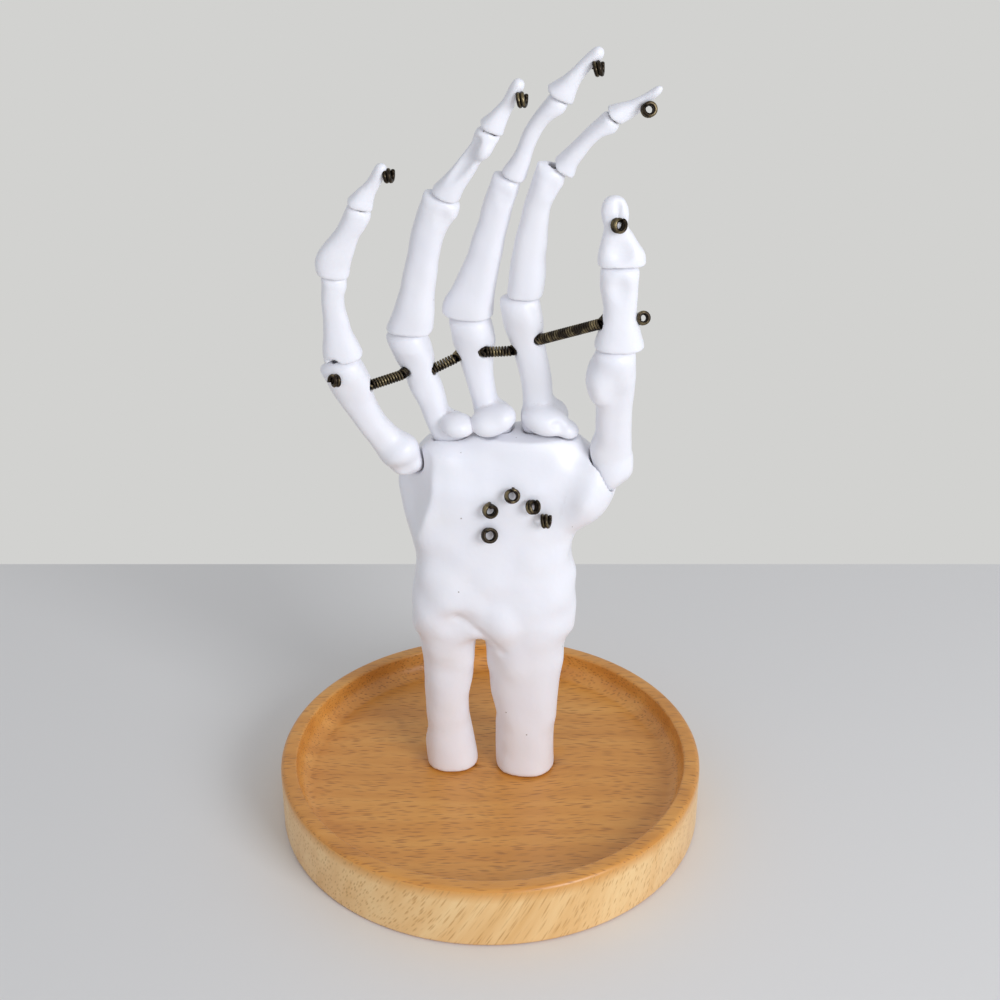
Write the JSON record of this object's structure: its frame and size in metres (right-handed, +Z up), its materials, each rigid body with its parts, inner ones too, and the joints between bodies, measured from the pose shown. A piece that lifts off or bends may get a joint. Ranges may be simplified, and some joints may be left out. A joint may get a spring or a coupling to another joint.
{
  "type": "jewelry holder",
  "caption": "White skeleton hand strung on brass springs, standing palm forward on its forearm stubs in a round beech tray; its bending fingers hold rings and its well small jewelry.",
  "frame": {"origin": "middle of the tray's underside, on the surface that the tray stands on", "axes": "+Z up, the palm of the hand faces -Y, the thumb is on the +X side"},
  "size_m": [0.13, 0.13, 0.2362],
  "materials": {
    "bone_white": "satin moulded",
    "antique_brass": "dark antiqued",
    "beech": "satin lacquer",
    "zinc_plate": "zinc plated"
  },
  "bodies": {
    "stand": {"tray": "beech", "wrist_casting": "bone_white", "ulna_screw": "zinc_plate", "radius_screw": "zinc_plate", "little_spring": "antique_brass", "ring_spring": "antique_brass", "middle_spring": "antique_brass", "index_spring": "antique_brass", "thumb_spring": "antique_brass", "cross_spring": "antique_brass"},
    "little_metacarpal": {"little_metacarpal": "bone_white"},
    "little_proximal": {"little_proximal": "bone_white"},
    "little_middle": {"little_middle": "bone_white"},
    "little_distal": {"little_distal": "bone_white"},
    "ring_metacarpal": {"ring_metacarpal": "bone_white"},
    "ring_proximal": {"ring_proximal": "bone_white"},
    "ring_middle": {"ring_middle": "bone_white"},
    "ring_distal": {"ring_distal": "bone_white"},
    "middle_metacarpal": {"middle_metacarpal": "bone_white"},
    "middle_proximal": {"middle_proximal": "bone_white"},
    "middle_middle": {"middle_middle": "bone_white"},
    "middle_distal": {"middle_distal": "bone_white"},
    "index_metacarpal": {"index_metacarpal": "bone_white"},
    "index_proximal": {"index_proximal": "bone_white"},
    "index_middle": {"index_middle": "bone_white"},
    "index_distal": {"index_distal": "bone_white"},
    "thumb_metacarpal": {"thumb_metacarpal": "bone_white"},
    "thumb_proximal": {"thumb_proximal": "bone_white"},
    "thumb_distal": {"thumb_distal": "bone_white"}
  },
  "joints": [
    {"name": "little_wrist_hinge", "type": "hinge", "parent": "stand", "child": "little_metacarpal", "pos_m": [-0.0225, 0.002, 0.1185], "axis": [0.8903, -0.0623, 0.4511], "range_deg": [-4, 4], "stiffness_Nm_per_rad": 0.6, "deforming": ["little_spring", "cross_spring"]},
    {"name": "little_knuckle_hinge", "type": "hinge", "parent": "little_metacarpal", "child": "little_proximal", "pos_m": [-0.03853, -0.00602, 0.14903], "axis": [0.9658, -0.0845, 0.2453], "range_deg": [-15, 35], "stiffness_Nm_per_rad": 0.15, "deforming": ["little_spring"]},
    {"name": "little_middle_hinge", "type": "hinge", "parent": "little_proximal", "child": "little_middle", "pos_m": [-0.03992, -0.01101, 0.17563], "axis": [0.9879, 0.0864, -0.1285], "range_deg": [-12, 45], "stiffness_Nm_per_rad": 0.08, "deforming": ["little_spring"]},
    {"name": "little_end_hinge", "type": "hinge", "parent": "little_middle", "child": "little_distal", "pos_m": [-0.0327, -0.01601, 0.19536], "axis": [0.9074, 0.2431, -0.3429], "range_deg": [-10, 40], "stiffness_Nm_per_rad": 0.04, "deforming": ["little_spring"]},
    {"name": "ring_wrist_hinge", "type": "hinge", "parent": "stand", "child": "ring_metacarpal", "pos_m": [-0.0106, 0.006, 0.1266], "axis": [0.9224, -0.1296, 0.3638], "range_deg": [-4, 4], "stiffness_Nm_per_rad": 0.6, "deforming": ["ring_spring", "cross_spring"]},
    {"name": "ring_knuckle_hinge", "type": "hinge", "parent": "ring_metacarpal", "child": "ring_proximal", "pos_m": [-0.02162, 0.003, 0.15347], "axis": [0.977, -0.2077, 0.0494], "range_deg": [-15, 35], "stiffness_Nm_per_rad": 0.15, "deforming": ["ring_spring"]},
    {"name": "ring_middle_hinge", "type": "hinge", "parent": "ring_proximal", "child": "ring_middle", "pos_m": [-0.01217, -0.00401, 0.19379], "axis": [0.9056, -0.1273, -0.4045], "range_deg": [-12, 45], "stiffness_Nm_per_rad": 0.08, "deforming": ["ring_spring"]},
    {"name": "ring_end_hinge", "type": "hinge", "parent": "ring_middle", "child": "ring_distal", "pos_m": [-0.00021, -0.00998, 0.213], "axis": [0.8767, 0.1546, -0.4554], "range_deg": [-10, 40], "stiffness_Nm_per_rad": 0.04, "deforming": ["ring_spring"]},
    {"name": "middle_wrist_hinge", "type": "hinge", "parent": "stand", "child": "middle_metacarpal", "pos_m": [0.0019, 0.007, 0.1293], "axis": [0.9598, -0.204, 0.1926], "range_deg": [-4, 4], "stiffness_Nm_per_rad": 0.6, "deforming": ["middle_spring", "cross_spring"]},
    {"name": "middle_knuckle_hinge", "type": "hinge", "parent": "middle_metacarpal", "child": "middle_proximal", "pos_m": [-0.00435, 0.00399, 0.15725], "axis": [0.9698, -0.2418, -0.0307], "range_deg": [-15, 35], "stiffness_Nm_per_rad": 0.15, "deforming": ["middle_spring"]},
    {"name": "middle_middle_hinge", "type": "hinge", "parent": "middle_proximal", "child": "middle_middle", "pos_m": [0.00481, -0.00299, 0.19889], "axis": [0.9048, -0.1923, -0.3799], "range_deg": [-12, 45], "stiffness_Nm_per_rad": 0.08, "deforming": ["middle_spring"]},
    {"name": "middle_end_hinge", "type": "hinge", "parent": "middle_middle", "child": "middle_distal", "pos_m": [0.01681, -0.00899, 0.22081], "axis": [0.8596, 0.1516, -0.488], "range_deg": [-10, 40], "stiffness_Nm_per_rad": 0.04, "deforming": ["middle_spring"]},
    {"name": "index_wrist_hinge", "type": "hinge", "parent": "stand", "child": "index_metacarpal", "pos_m": [0.016, 0.006, 0.1297], "axis": [0.9675, -0.2056, 0.1473], "range_deg": [-4, 4], "stiffness_Nm_per_rad": 0.6, "deforming": ["index_spring", "cross_spring"]},
    {"name": "index_knuckle_hinge", "type": "hinge", "parent": "index_metacarpal", "child": "index_proximal", "pos_m": [0.00913, -0.001, 0.16506], "axis": [0.9845, -0.1736, -0.0248], "range_deg": [-15, 35], "stiffness_Nm_per_rad": 0.15, "deforming": ["index_spring"]},
    {"name": "index_middle_hinge", "type": "hinge", "parent": "index_proximal", "child": "index_middle", "pos_m": [0.01586, -0.00702, 0.20249], "axis": [0.9051, 0.0792, -0.4178], "range_deg": [-12, 45], "stiffness_Nm_per_rad": 0.08, "deforming": ["index_spring"]},
    {"name": "index_end_hinge", "type": "hinge", "parent": "index_middle", "child": "index_distal", "pos_m": [0.02899, -0.01203, 0.21728], "axis": [0.6956, 0.4016, -0.5957], "range_deg": [-10, 40], "stiffness_Nm_per_rad": 0.04, "deforming": ["index_spring"]},
    {"name": "thumb_wrist_hinge", "type": "hinge", "parent": "stand", "child": "thumb_metacarpal", "pos_m": [0.0354, -0.001, 0.1192], "axis": [0.998, 0, 0.0628], "range_deg": [-8, 8], "stiffness_Nm_per_rad": 0.6, "deforming": ["thumb_spring", "cross_spring"]},
    {"name": "thumb_knuckle_hinge", "type": "hinge", "parent": "thumb_metacarpal", "child": "thumb_proximal", "pos_m": [0.03314, -0.01369, 0.15516], "axis": [0.9995, 0, 0.0315], "range_deg": [-12, 25], "stiffness_Nm_per_rad": 0.15, "deforming": ["thumb_spring", "cross_spring"]},
    {"name": "thumb_end_hinge", "type": "hinge", "parent": "thumb_proximal", "child": "thumb_distal", "pos_m": [0.0331, -0.01669, 0.17927], "axis": [0.999, 0, 0.0446], "range_deg": [-12, 35], "stiffness_Nm_per_rad": 0.04, "deforming": ["thumb_spring"]}
  ]
}
